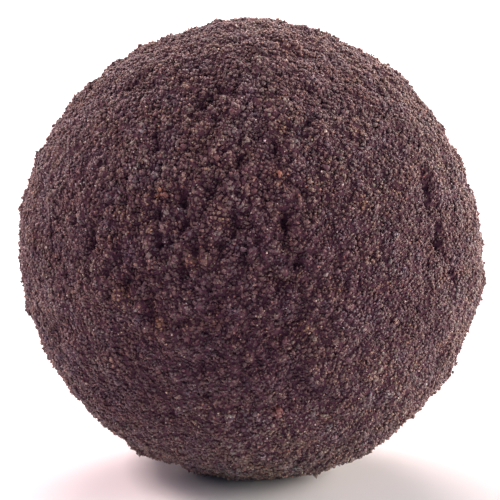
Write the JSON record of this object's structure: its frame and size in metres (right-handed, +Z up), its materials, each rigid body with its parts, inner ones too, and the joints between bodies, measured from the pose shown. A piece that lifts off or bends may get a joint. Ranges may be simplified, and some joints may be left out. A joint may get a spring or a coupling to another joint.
{
  "type": "chocolate truffle",
  "caption": "Hand-rolled ball of soft dark chocolate under a rough, crumbly cocoa coat, resting on a small flat spot.",
  "frame": {"origin": "on the surface that the truffle stands on, under the middle of the ball", "axes": "+Z up, -Y out of the front that the picture shows, +X to the right as seen from the front"},
  "size_m": [0.0303, 0.0299, 0.0294],
  "materials": {
    "cocoa_coat": "dull, rough coat of dark cocoa and fine chocolate crumbs, a little paler where dry cocoa has settled"
  },
  "bodies": {
    "root": {"truffle": "cocoa_coat"}
  },
  "joints": []
}
